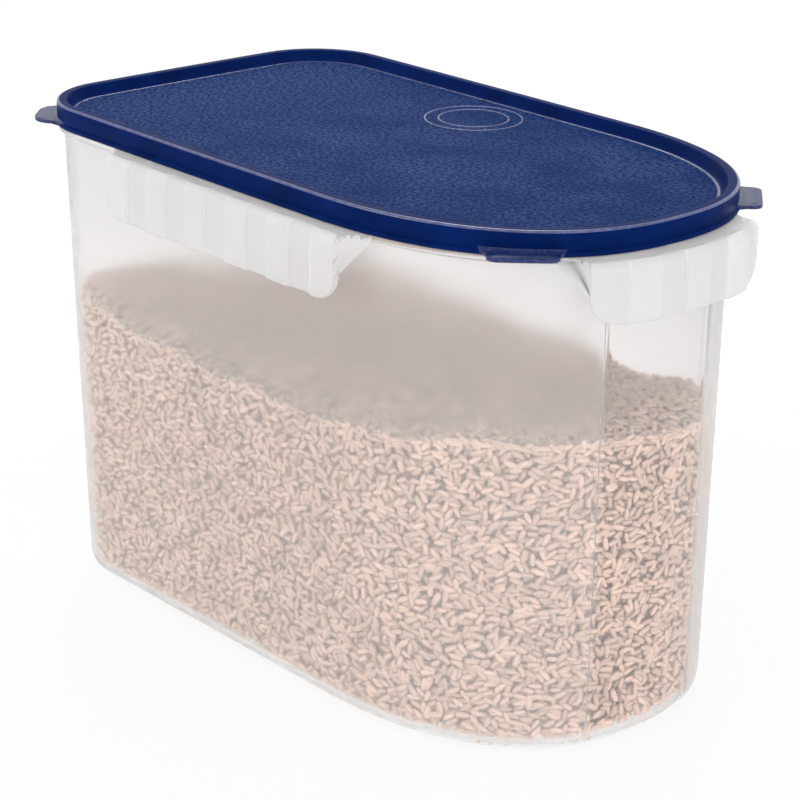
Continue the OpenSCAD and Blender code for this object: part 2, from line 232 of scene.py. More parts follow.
class Outline:
    """The bin's outline seen from above, as the model's source draws it."""

    def __init__(self, plan):
        self.half_length = plan.lid_length / 2
        self.half_width = plan.lid_width / 2
        self.nose_start = self.half_length - plan.nose_length
        self.plan = plan

    def bowed(self, x, y):
        """Adds the slight bow of the long sides and of the rear edge."""
        back = clamped((self.nose_start - x) / (self.nose_start + self.half_length)) ** 2
        bulge = self.plan.rear_bow * (y / self.half_width) ** 2 * back
        return x + bulge, y * (1 - self.plan.side_bow / self.half_width * back)

    def nose_point(self, angle, half, reach):
        power = 2 / self.plan.nose_power
        return (self.nose_start + reach * max(math.cos(angle), 0.0) ** power,
                -half * max(math.sin(angle), 0.0) ** power)

    def nose_angle(self, y, half):
        return math.asin((y / half) ** (self.plan.nose_power / 2))

    def ring(self, side_in, rear_in, nose_in, radius, dip=0.0):
        """Points of a closed outline, counter-clockwise from the middle of the rear edge."""
        half = self.half_width - side_in
        rear = self.half_length - rear_in
        reach = self.plan.nose_length - nose_in
        panel, step = self.plan.panel_half, self.plan.panel_step
        crease = self.nose_angle(panel, half)
        inner = self.nose_angle(panel - step, half)
        points = [(-rear, -(half - radius) * i / REAR_STEPS) for i in range(REAR_STEPS)]
        for i in range(CORNER_STEPS + 1):
            angle = math.pi + RIGHT_ANGLE * i / CORNER_STEPS
            points.append((radius - rear + radius * math.cos(angle),
                           radius - half + radius * math.sin(angle)))
        side_start = radius - rear
        for i in range(1, SIDE_STEPS + 1):
            points.append((side_start + (self.nose_start - side_start) * i / SIDE_STEPS, -half))
        for i in range(1, NOSE_STEPS + 1):
            angle = RIGHT_ANGLE - (RIGHT_ANGLE - crease) * i / NOSE_STEPS
            points.append(self.nose_point(angle, half, reach))
        for i in range(1, CREASE_STEPS + 1):
            along = i / CREASE_STEPS
            angle = self.nose_angle(panel - step * along, half)
            points.append(self.nose_point(angle, half, reach - dip * eased(along)))
        for i in range(1, TIP_STEPS + 1):
            points.append(self.nose_point(inner * (1 - i / TIP_STEPS), half, reach - dip))
        bent = [self.bowed(x, y) for x, y in points]
        return bent + [(x, -y) for x, y in bent[-2:0:-1]]

    def inset(self, distance, z):
        """The skirt's outline drawn in evenly, at height z."""
        flat = self.ring(distance, distance, distance, self.plan.rear_radius - distance)
        return [Vector((x, y, z)) for x, y in flat]

    def wall(self, container, z, extra=0.0):
        """The outside of the container at height z, drawn in by extra."""
        down = clamped((FLANGE_FOOT - z) / FLANGE_FOOT)
        top_radius = self.plan.rear_radius - container.wall_inset
        radius = top_radius + (container.base_radius - top_radius) * down
        dip = container.panel_depth * eased(down / PANEL_FADE)
        flat = self.ring(container.wall_inset + container.side_lean * down + extra,
                         container.wall_inset + container.rear_lean * down + extra,
                         container.wall_inset + container.nose_lean * down + extra,
                         radius - extra, dip)
        return [Vector((x, y, z)) for x, y in flat]

    def side_point(self, grips, along, out):
        """A point that stands out from the right-hand skirt, at a place along the side grip."""
        return self.bowed(grips.side_middle + along, -self.half_width - out)

    def nose_side_point(self, across, out):
        """A point that stands out from the nose of the skirt, at a place across it."""
        power = self.plan.nose_power
        share_left = 1 - (abs(across) / self.half_width) ** power
        reach = self.plan.nose_length
        x = reach * share_left ** (1 / power)
        slope_x = (x / reach) ** (power - 1) / reach
        slope_y = math.copysign((abs(across) / self.half_width) ** (power - 1) / self.half_width, across)
        size = math.hypot(slope_x, slope_y)
        return self.nose_start + x + out * slope_x / size, across + out * slope_y / size


# Building with bmesh

def closed_ring(bm, places):
    """A closed loop of edges through the places."""
    verts = [bm.verts.new(place) for place in places]
    for i, vert in enumerate(verts):
        bm.edges.new((verts[i - 1], vert))
    return verts


def open_line(bm, places):
    """An open line of edges through the places."""
    verts = [bm.verts.new(place) for place in places]
    for before, after in zip(verts, verts[1:]):
        bm.edges.new((before, after))
    return verts


def grown(bm, line, places, closed=True):
    """Extrudes a line of edges and moves the new line to its places."""
    first = 0 if closed else 1
    edges = [bm.edges.get((line[i - 1], line[i])) for i in range(first, len(line))]
    made = bmesh.ops.extrude_edge_only(bm, edges=edges)["geom"]
    fresh = {item for item in made if isinstance(item, bmesh.types.BMVert)}
    result = []
    for vert, place in zip(line, places):
        twin = next(other for other in (edge.other_vert(vert) for edge in vert.link_edges)
                    if other in fresh)
        twin.co = place
        result.append(twin)
    return result


def finished(bm, name, material):
    """Turns a bmesh into an object with smooth shading between its sharp edges."""
    mesh = bpy.data.meshes.new(name)
    bm.to_mesh(mesh)
    bm.free()
    piece = bpy.data.objects.new(name, mesh)
    bpy.context.scene.collection.objects.link(piece)
    mesh.materials.append(material)
    mesh.shade_smooth()
    mesh.set_sharp_from_angle(angle=SMOOTH_ANGLE)
    return piece


def soften(piece, width, segments, angle):
    """Rounds the sharp edges of a piece, those that turn by more than the angle in degrees."""
    soft = piece.modifiers.new("soft edges", "BEVEL")
    soft.width = width
    soft.segments = segments
    soft.limit_method = "ANGLE"
    soft.angle_limit = math.radians(angle)


def arc(start, end, steps):
    """Angles from start to end in degrees, both included, in radians."""
    return [math.radians(start + (end - start) * i / steps) for i in range(steps + 1)]


def round_edge(inward, z, radius, start, end, steps):
    """Points of a round edge in a cross-section, about a middle given by its inset and height."""
    return [(inward + radius * math.cos(a), z + radius * math.sin(a)) for a in arc(start, end, steps)]


# Materials

class Finish:
    """A node material with short calls for its nodes."""

    def __init__(self, name):
        self.material = bpy.data.materials.new(name)
        self.material.use_nodes = True
        self.tree = self.material.node_tree
        self.tree.nodes.clear()
        self.output = self.node("ShaderNodeOutputMaterial")
        self.coords = self.node("ShaderNodeTexCoord").outputs["Object"]

    def node(self, kind, inputs=(), **settings):
        made = self.tree.nodes.new(kind)
        for name, value in settings.items():
            setattr(made, name, value)
        for name, value in dict(inputs).items():
            if isinstance(value, bpy.types.NodeSocket):
                self.tree.links.new(value, made.inputs[name])
            else:
                made.inputs[name].default_value = value
        return made

    def noise(self, scale, detail=3.0, roughness=0.55):
        """Noise over the object, with scale in patterns to the metre."""
        return self.node("ShaderNodeTexNoise", {"Vector": self.coords, "Scale": scale, "Detail": detail,
                                                "Roughness": roughness}).outputs["Fac"]

    def spread(self, value, low, high, low_from=0.3, high_from=0.7):
        """Maps a value that lies about its middle to the range from low to high."""
        return self.node("ShaderNodeMapRange", {"Value": value, "From Min": low_from, "From Max": high_from,
                                                "To Min": low, "To Max": high}).outputs["Result"]

    def blend(self, factor, first, second):
        """Mixes two colours by a factor."""
        made = self.node("ShaderNodeMix", data_type="RGBA")
        for place, value in ((0, factor), (6, first), (7, second)):
            if isinstance(value, bpy.types.NodeSocket):
                self.tree.links.new(value, made.inputs[place])
            else:
                made.inputs[place].default_value = (*value, 1.0) if place else value
        return made.outputs[2]

    def bump(self, height, strength, distance):
        return self.node("ShaderNodeBump", {"Height": height, "Strength": strength,
                                            "Distance": distance}).outputs["Normal"]

    def attribute(self, name):
        """A value that the mesh carries at each of its points."""
        return self.node("ShaderNodeAttribute", attribute_name=name).outputs["Fac"]

    def reckon(self, operation, first, second):
        return self.node("ShaderNodeMath", {0: first, 1: second}, operation=operation).outputs[0]

    def shiny(self, sockets):
        return self.node("ShaderNodeBsdfPrincipled", sockets).outputs["BSDF"]

    def mixed(self, factor, first, second):
        """Mixes two shaders by a factor."""
        made = self.node("ShaderNodeMixShader", {"Fac": factor, 1: first, 2: second})
        return made.outputs["Shader"]

    def show(self, shader):
        self.tree.links.new(shader, self.output.inputs["Surface"])
        return self.material


def scaled(colour_value, factor):
    return tuple(min(channel * factor, 1.0) for channel in colour_value)


def frosted_plastic(settings, name, clearness, milkiness, roughness, frost):
    """Milky plastic: near things show clearly through it and far things softly, and lamps shine in."""
    tint = tuple(settings.container.tint)
    finish = Finish(name)
    cloud = finish.noise(26.0)
    grain = finish.noise(150.0, 2.0)
    base = finish.blend(finish.spread(cloud, 0.0, 1.0), scaled(tint, 0.99), tint)
    bumps = finish.bump(grain, frost, 0.0002)
    surface = finish.shiny({
        "Base Color": base,
        "Roughness": finish.spread(grain, roughness * 0.85, roughness * 1.15),
        "Normal": bumps,
        "IOR": 1.3,
        "Transmission Weight": clearness,
    })
    glow = finish.node("ShaderNodeBsdfTranslucent", {"Color": base, "Normal": bumps}).outputs["BSDF"]
    milk = finish.mixed(milkiness, surface, glow)
    lamp_path = finish.node("ShaderNodeLightPath").outputs["Is Shadow Ray"]
    lamp_tint = (0.985, 0.98, 0.975, 1.0)
    window = finish.node("ShaderNodeBsdfTransparent", {"Color": lamp_tint}).outputs["BSDF"]
    return finish.show(finish.mixed(lamp_path, milk, window))


def milky_sheet(settings):
    """Thick milky plastic of the grips: half clear, half scattering, with a painted highlight along the
    ribs' edges.
    """
    tint = scaled(tuple(settings.container.tint), settings.grips.greyness)
    finish = Finish("frosted_grip")
    cloud = finish.noise(70.0, 4.0)
    waves = finish.noise(210.0, 2.0)
    valley = finish.blend(finish.spread(cloud, 0.0, 1.0), scaled(tint, 0.93), scaled(tint, 0.95))
    # The ribs painted pale as a highlight, most along their edges
    base = finish.blend(finish.attribute("rib_highlight"), valley, WHITE)
    bumps = finish.bump(waves, 0.02, 0.0002)
    surface = finish.shiny({
        "Base Color": base,
        "Roughness": finish.spread(waves, 0.16, 0.22),
        "Normal": bumps,
        "Alpha": settings.grips.cover,
    })
    glow = finish.node("ShaderNodeBsdfTranslucent", {"Color": base, "Normal": bumps}).outputs["BSDF"]
    return finish.show(finish.mixed(settings.grips.glow, surface, glow))


def navy_satin(settings):
    """Smooth moulded navy with a faint sheen and flow marks."""
    navy = tuple(settings.lid.navy)
    finish = Finish("navy_satin")
    flow = finish.noise(60.0, 4.0)
    fine = finish.noise(3200.0, 2.0)
    return finish.show(finish.shiny({
        "Base Color": finish.blend(finish.spread(flow, 0.0, 1.0), scaled(navy, 0.8), scaled(navy, 1.3)),
        "Roughness": finish.spread(flow, 0.3, 0.4),
        "Normal": finish.bump(fine, 0.03, 0.0001),
        "Specular IOR Level": 0.015,
    }))


def navy_edge_highlight(settings):
    """The rounded edges of the lid: glossier than the faces beside them, and painted paler as a highlight
    along them.
    """
    navy = tuple(settings.lid.highlight_navy)
    finish = Finish("navy_edge_highlight")
    highlight_mottle = finish.noise(240.0, 4.0, 0.65)
    # Mottled pale navy as a painted highlight, with real gloss from the higher specular level
    return finish.show(finish.shiny({
        "Base Color": finish.blend(finish.spread(highlight_mottle, 0.0, 1.0), scaled(navy, 0.55), scaled(navy, 1.5)),
        "Roughness": finish.spread(highlight_mottle, 0.16, 0.3),
        "Normal": finish.bump(highlight_mottle, 0.05, 0.0002),
        "Specular IOR Level": 0.7,
    }))


def navy_stipple(settings):
    """Navy with the moulded stipple of the panel: painted shade in its pits, painted light on its grain,
    random paler patches and a painted sheen towards the rear.
    """
    deep = tuple(settings.lid.panel_navy)
    finish = Finish("navy_stipple")
    mottle = finish.noise(640.0, 3.0, 0.6)
    patch = finish.noise(30.0, 4.0)
    # Painted shade in the stipple's pits and painted light on its grain, by one fine mottle
    raised = finish.spread(mottle, 0.0, 1.0, 0.46, 0.56)
    fine = finish.blend(raised, scaled(deep, 0.8), tuple(settings.lid.panel_grain_highlight))
    sheen_and_patch_tone = finish.blend(raised, scaled(deep, 1.2), tuple(settings.lid.sheen_and_patch_grain))
    along = finish.node("ShaderNodeSeparateXYZ", {"Vector": finish.coords}).outputs["X"]
    # A painted sheen that grows towards the rear, joined with random paler patches
    rear = finish.spread(along, 0.9, 0.0, -0.13, 0.0)
    sheened_and_patched = finish.reckon("MAXIMUM", finish.spread(patch, 0.0, 0.8, 0.35, 0.65), rear)
    return finish.show(finish.shiny({
        "Base Color": finish.blend(sheened_and_patched, fine, sheen_and_patch_tone),
        "Roughness": finish.spread(mottle, 0.45, 0.65),
        "Normal": finish.bump(mottle, 0.3, 0.0004),
        "Specular IOR Level": 0.012,
    }))


def navy_mottle(settings):
    """The navy of the rim with the fine spark-eroded grain of the pull tabs, the grain painted paler as a
    sheen.
    """
    navy = tuple(settings.lid.navy)
    finish = Finish("navy_mottle")
    grain = finish.noise(900.0, 3.0, 0.6)
    # The raised grain takes the paler navy, a painted sheen on the real texture
    raised = finish.spread(grain, 0.0, 1.0, 0.38, 0.62)
    return finish.show(finish.shiny({
        "Base Color": finish.blend(raised, scaled(navy, 1.1), tuple(settings.lid.tab_sheen_navy)),
        "Roughness": finish.spread(grain, 0.28, 0.42),
        "Normal": finish.bump(grain, 0.15, 0.0002),
        "Specular IOR Level": 0.35,
    }))


def rice_skin(settings):
    """Husked brown rice: each grain has its own shade, and some have a darker tip."""
    husk = tuple(settings.rice.husk)
    finish = Finish("brown_rice")
    speck = finish.noise(1800.0, 3.0)
    plain = finish.blend(finish.attribute("grain_shade"), scaled(husk, 0.78), scaled(husk, 1.28))
    pale = finish.blend(finish.spread(speck, 0.0, 0.5), plain, scaled(husk, 1.2))
    base = finish.blend(finish.attribute("grain_tip"), pale, tuple(settings.rice.germ))
    return finish.show(finish.shiny({
        "Base Color": base,
        "Roughness": finish.spread(speck, 0.38, 0.55),
        "Normal": finish.bump(speck, 0.15, 0.0002),
    }))


def painted_rice_shade(settings):
    """The core of rice that shows between the grains, painted dark as the shade deep among them."""
    shade = tuple(settings.rice.shade)
    finish = Finish("rice_core_painted_shade")
    lumps = finish.noise(380.0, 4.0)
    return finish.show(finish.shiny({
        "Base Color": finish.blend(finish.spread(lumps, 0.0, 1.0), scaled(shade, 0.6), scaled(shade, 1.5)),
        "Roughness": finish.spread(lumps, 0.6, 0.8),
        "Normal": finish.bump(lumps, 0.5, 0.001),
    }))


def material_for(name, maker, *arguments):
    """The material of that name, made the first time it is asked for."""
    return bpy.data.materials.get(name) or maker(*arguments)


# Operators

class RICEBIN_OT_container(bpy.types.Operator):
    """Makes the frosted container: walls, rounded foot, floor, flange and rim in one moulding"""
    bl_idname = "ricebin.container"
    bl_label = "Container"

    # The hollow corner between the wall and the flange: how far it goes out and down
    root_in = 0.0016
    root_down = 0.0036

    def execute(self, context):
        settings = context.scene.rice_bin
        box = settings.container
        outline = Outline(settings.plan)
        foot = box.foot_radius
        inner_foot = foot - box.wall
        edge = 0.0005
        panel_start = FLANGE_FOOT * (1 - PANEL_FADE)
        root_start = FLANGE_FOOT - self.root_down
        wall_heights = [foot + (panel_start - foot) * i / 6 for i in range(1, 6)]
        wall_heights += [panel_start + (root_start - panel_start) * i / 5 for i in range(6)]
        foot_edge = round_edge(foot, foot, foot, 270, 180, 8)
        flange_edge = round_edge(edge, FLANGE_FOOT + edge, edge, 270, 180, 4)
        flange_edge += round_edge(edge, FLANGE_TOP - edge, edge, 180, 90, 4)
        rim_profile = [(box.wall_inset, FLANGE_TOP),
                       (box.rim_outer_inset, FLANGE_TOP + box.wall_inset - box.rim_outer_inset)]
        rim_profile += round_edge(box.rim_outer_inset + edge, RIM_TOP - edge, edge, 180, 90, 4)
        rim_profile += round_edge(box.rim_inner_inset - edge, RIM_TOP - edge, edge, 90, 0, 4)
        rim_profile.append((box.rim_inner_inset, FLANGE_TOP + box.wall_inset))
        inner_edge = round_edge(box.wall + inner_foot, box.floor + inner_foot, inner_foot, 180, 270, 8)
        rings = [outline.wall(box, z, inward) for inward, z in foot_edge]
        rings += [outline.wall(box, z) for z in wall_heights]
        rings += [outline.wall(box, FLANGE_FOOT - self.root_down * (1 - math.sin(a)),
                               -self.root_in * (1 - math.cos(a))) for a in arc(12, 90, 6)]
        rings += [outline.inset(box.flange_inset + inward, z) for inward, z in flange_edge]
        rings += [outline.inset(inward, z) for inward, z in rim_profile]
        rings.append(outline.wall(box, FLANGE_FOOT, box.wall))
        rings += [outline.wall(box, z, box.wall) for z in reversed(wall_heights)]
        rings += [outline.wall(box, z, inward) for inward, z in inner_edge]
        bm = bmesh.new()
        first = line = closed_ring(bm, rings[0])
        for places in rings[1:]:
            line = grown(bm, line, places)
        bmesh.ops.contextual_create(bm, geom=first)
        bmesh.ops.contextual_create(bm, geom=line)
        bmesh.ops.recalc_face_normals(bm, faces=bm.faces)
        milk = frosted_plastic(settings, "frosted_wall", box.clearness, box.milkiness, 0.22, 0.05)
        clear = frosted_plastic(settings, "clear_window", box.window_clearness, box.window_milkiness,
                                0.08, 0.03)
        window_half = settings.plan.panel_half - settings.plan.panel_step
        for face in bm.faces:
            middle = face.calc_center_median()
            in_nose = middle.x > outline.half_length * 0.8
            if in_nose and abs(middle.y) < window_half and foot < middle.z < root_start:
                face.material_index = 1
        piece = finished(bm, "container_moulding", milk)
        piece.data.materials.append(clear)
        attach(piece, "container")
        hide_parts("container_shell", "rim_flange")
        return {"FINISHED"}


# How strong the painted highlight is on the middle and on the edges of a rib, against the plastic between
# the ribs
CREST_HIGHLIGHT = 0.15
FLANK_HIGHLIGHT = 3.2
# How far the root of a grip reaches in under the skirt, and how far it keeps below the flange's top
GRIP_ROOT_IN = 0.0018
GRIP_TOP_GAP = 0.00005


def rib_share(along, ribs, pitch, width, edge, to_ends):
    """How much of a rib stands at a place along a grip; the outer ribs may run out to its ends."""
    raised = 0.0
    for i in range(ribs):
        off = along - (i - (ribs - 1) / 2) * pitch
        if to_ends and i == 0:
            off = max(off, 0.0)
        if to_ends and i == ribs - 1:
            off = min(off, 0.0)
        raised += eased((width / 2 + edge - abs(off)) / edge)
    return raised


def grip_places(half, ribs, pitch, width, edge, corner):
    """Places along a grip: close together at rib edges and corners, wider apart between them."""
    widest = 0.003
    places = {-half, half}
    for i in range(ribs):
        middle = (i - (ribs - 1) / 2) * pitch
        for side in (-1, 1):
            for k in range(6):
                places.add(round(middle + side * (width / 2 + edge * k / 5), 6))
    for a in arc(0, 90, 8):
        turn = half - corner * (1 - math.sin(a))
        places.update((round(turn, 6), round(-turn, 6)))
    known = sorted(place for place in places if -half <= place <= half)
    filled = [known[0]]
    for place in known[1:]:
        gap = place - filled[-1]
        if gap < 0.0001:
            continue
        extra = int(gap / widest)
        filled += [filled[-1] + gap * k / (extra + 1) for k in range(1, extra + 1)]
        filled.append(place)
    return filled


def grip_profile(grips, v, half, out, foot, raised):
    """The closed cross-section of a grip at a place along it: distance out and height of each point.

    Its outside has a ledge, a rounded fold and a ribbed apron; its inside is plain."""
    fold = grips.fold_radius
    corner = grips.corner_radius
    top = FLANGE_TOP - GRIP_TOP_GAP
    start = -GRIP_ROOT_IN
    bend_out, bend_z = out - fold, top - fold
    into = max(abs(v) - (half - corner), 0.0)
    lip = grips.thickness / 2
    low = foot + corner - math.sqrt(max(corner ** 2 - into ** 2, 0.0)) + lip
    inner = fold - grips.thickness
    drops = [0.1, 0.3, 0.5, 0.7, 0.88]
    points = [(start + (bend_out - start) * i / 6, top) for i in range(6)]
    for a in arc(0, 90, 8):
        reach = fold + raised * eased(math.sin(a) * 1.4)
        points.append((bend_out + reach * math.sin(a), bend_z + reach * math.cos(a)))
    points += [(out + raised, bend_z + (low - bend_z) * drop) for drop in drops]
    half_lip = (grips.thickness + raised) / 2
    points += [(out + raised - half_lip * (1 - math.cos(a)), low - lip * math.sin(a))
               for a in arc(0, 180, 8)]
    points += [(out - grips.thickness, bend_z + (low - bend_z) * drop) for drop in reversed(drops)]
    points += [(bend_out + inner * math.sin(a), bend_z + inner * math.cos(a)) for a in arc(90, 0, 5)]
    points += [(start + (bend_out - start) * i / 6, top - grips.thickness) for i in (4, 2, 0)]
    return points


def make_grip(settings, name, node, point, half, out, foot, ribs, pitch, width, to_ends, mirrored=False):
    """One grip: its cross-section carried along the flange, wider at its hollow root."""
    grips = settings.grips
    root = grips.root_radius
    root_back = 0.0006
    rise = out - grips.thickness + root_back
    sweep = math.acos(1 - min(rise, root) / root)
    bm = bmesh.new()
    rib_highlight = bm.verts.layers.float.new("rib_highlight")
    first = line = None
    for v in grip_places(half, ribs, pitch, width, grips.rib_edge, grips.corner_radius):
        risen = rib_share(v, ribs, pitch, width, grips.rib_edge, to_ends)
        raised = grips.rib_height * risen
        near_end = clamped((abs(v) - (half - 2 * grips.corner_radius)) / (2 * grips.corner_radius)) ** 2
        spots = []
        for d, z in grip_profile(grips, v, half, out, foot, raised):
            turned = clamped((d + root_back) / root)
            widened = root * max(math.sin(sweep) - math.sqrt(1 - (1 - turned) ** 2), 0.0)
            x, y = point(v + math.copysign(widened * near_end, v), d)
            spots.append(Vector((x, y, z)))
        if line is None:
            first = line = closed_ring(bm, spots)
        else:
            line = grown(bm, line, spots)
        # Each rib's painted highlight: faint on its crest, strongest on its sloping edges
        for vert in line:
            vert[rib_highlight] = CREST_HIGHLIGHT * risen + FLANK_HIGHLIGHT * risen * (1 - risen)
    bmesh.ops.contextual_create(bm, geom=first)
    bmesh.ops.contextual_create(bm, geom=line)
    if mirrored:
        bmesh.ops.scale(bm, vec=(1, -1, 1), verts=bm.verts)
    bmesh.ops.recalc_face_normals(bm, faces=bm.faces)
    piece = finished(bm, name, material_for("frosted_grip", milky_sheet, settings))
    soften(piece, 0.0004, 2, 60)
    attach(piece, "container")
    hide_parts(node)


class RICEBIN_OT_side_grips(bpy.types.Operator):
    """Makes the two ribbed side grips, each one folded sheet under the flange"""
    bl_idname = "ricebin.side_grips"
    bl_label = "Side grips"

    def execute(self, context):
        settings = context.scene.rice_bin
        grips = settings.grips
        outline = Outline(settings.plan)

        def point(along, out):
            return outline.side_point(grips, along, out)

        for name, node, mirrored in (("side_grip_right", "grip_apron_right", False),
                                     ("side_grip_left", "grip_apron_left", True)):
            make_grip(settings, name, node, point, grips.side_length / 2, grips.side_out, SIDE_GRIP_FOOT,
                      grips.side_ribs, grips.side_rib_pitch, grips.side_rib_width, True, mirrored)
        return {"FINISHED"}


class RICEBIN_OT_front_grip(bpy.types.Operator):
    """Makes the ribbed front grip that follows the nose"""
    bl_idname = "ricebin.front_grip"
    bl_label = "Front grip"

    def execute(self, context):
        settings = context.scene.rice_bin
        grips = settings.grips
        outline = Outline(settings.plan)
        make_grip(settings, "front_grip", "grip_apron_front", outline.nose_side_point, grips.front_width / 2,
                  grips.front_out, FRONT_GRIP_FOOT, grips.front_ribs, grips.front_rib_pitch,
                  grips.front_rib_width, False)
        return {"FINISHED"}


class RICEBIN_OT_lid(bpy.types.Operator):
    """Makes the rim of the lid, dresses its panel and adds two plain raised rings"""
    bl_idname = "ricebin.lid"
    bl_label = "Lid"

    # The fine groove over the bead and the small step at the foot of the well
    groove = 0.00022
    step = 0.0003
    # The plain rings: place of their middle, half their width, height, and size of the inner one
    ring_x = -0.014
    ring_y = 0.049
    ring_half = 0.0004
    ring_height = 0.00022
    inner_share = 0.72
    ring_steps = 96

    def execute(self, context):
        settings = context.scene.rice_bin
        lid = settings.lid
        outline = Outline(settings.plan)
        well = lid.band + lid.well_lean
        ceiling = LID_TOP - lid.thickness
        radius = lid.band_radius
        bead_middle = SKIRT_FOOT + lid.bead_height / 2
        foot = SKIRT_FOOT + lid.bead_height
        fillet = lid.fillet
        bead = [(-lid.bead_out * math.cos(a), bead_middle + lid.bead_height / 2 * math.sin(a))
                for a in arc(-80, 80, 8)]
        groove_profile = [(self.groove, foot + 0.0002), (self.groove, foot + 0.0005), (0.0, foot + 0.0008)]
        outer_edge = round_edge(radius, LID_TOP - radius, radius, 180, 90, 6)
        inner_edge = round_edge(lid.band - radius, LID_TOP - radius, radius, 90, 10, 6)
        well_foot = round_edge(well + fillet, WELL_FLOOR + fillet, fillet, 192, 270, 6)
        underside = [(well + fillet + 0.0002, WELL_FLOOR - self.step),
                     (well, WELL_FLOOR - self.step),
                     (well, WELL_UNDER),
                     (well - lid.thickness, WELL_UNDER),
                     (lid.band - lid.thickness, ceiling),
                     (lid.thickness, ceiling)]
        profile = self.plain([(lid.thickness, SKIRT_FOOT)] + bead + groove_profile)
        # The outer edge and the fillet at the panel take the glossier navy with its painted highlight
        profile += self.highlighted(outer_edge)
        profile += self.plain(inner_edge + well_foot[:3])
        profile += self.highlighted(well_foot[3:])
        profile += self.plain(underside)
        rings = [outline.inset(inward, z) for inward, z, _ in profile]
        bm = bmesh.new()
        first = line = closed_ring(bm, rings[0])
        for places, (_, _, shiny) in zip(rings[1:], profile[1:]):
            line = grown(bm, line, places)
            for vert in line:
                for face in vert.link_faces:
                    face.material_index = int(shiny)
        edges = [bm.edges.get((ring[i - 1], ring[i])) for ring in (first, line) for i in range(len(ring))]
        bmesh.ops.bridge_loops(bm, edges=edges)
        bmesh.ops.recalc_face_normals(bm, faces=bm.faces)
        rim = finished(bm, "lid_rim_moulding", navy_satin(settings))
        # Glossier navy painted pale as a highlight, for the marked edges and the plain rings
        edge = navy_edge_highlight(settings)
        rim.data.materials.append(edge)
        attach(rim, "lid")
        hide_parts("lid_rim")
        stipple = navy_stipple(settings)
        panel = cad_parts["lid_panel"]
        for place in panel.material_slots:
            place.material = stipple
        self.raised_rings(lid, edge)
        return {"FINISHED"}

    def plain(self, points):
        """Marks the steps of the profile as plain."""
        return [(inward, z, False) for inward, z in points]

    def highlighted(self, points):
        """Marks every step of a rounded part of the profile but its first two for the glossier navy with its
        painted highlight.
        """
        return [(inward, z, i > 1) for i, (inward, z) in enumerate(points)]

    def raised_rings(self, lid, material):
        """Two plain raised rings on the panel, in the glossier navy with its painted highlight."""
        middle = Vector((self.ring_x, self.ring_y, WELL_FLOOR))
        bm = bmesh.new()
        half, height = self.ring_half, self.ring_height
        for radius in (lid.ring_radius, lid.ring_radius * self.inner_share):
            profile = [middle + Vector((radius - half * math.cos(a), 0, height * math.sin(a)))
                       for a in arc(0, 180, 6)]
            line = open_line(bm, profile)
            edges = [bm.edges.get(pair) for pair in zip(line, line[1:])]
            bmesh.ops.spin(bm, geom=line + edges, cent=middle, axis=(0, 0, 1), angle=2 * math.pi,
                           steps=self.ring_steps, use_merge=True)
        bmesh.ops.remove_doubles(bm, verts=bm.verts, dist=0.000001)
        bmesh.ops.recalc_face_normals(bm, faces=bm.faces)
        if sum(face.normal.z for face in bm.faces) < 0:
            bmesh.ops.reverse_faces(bm, faces=bm.faces)
        rings = finished(bm, "plain_rings", material)
        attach(rings, "lid")


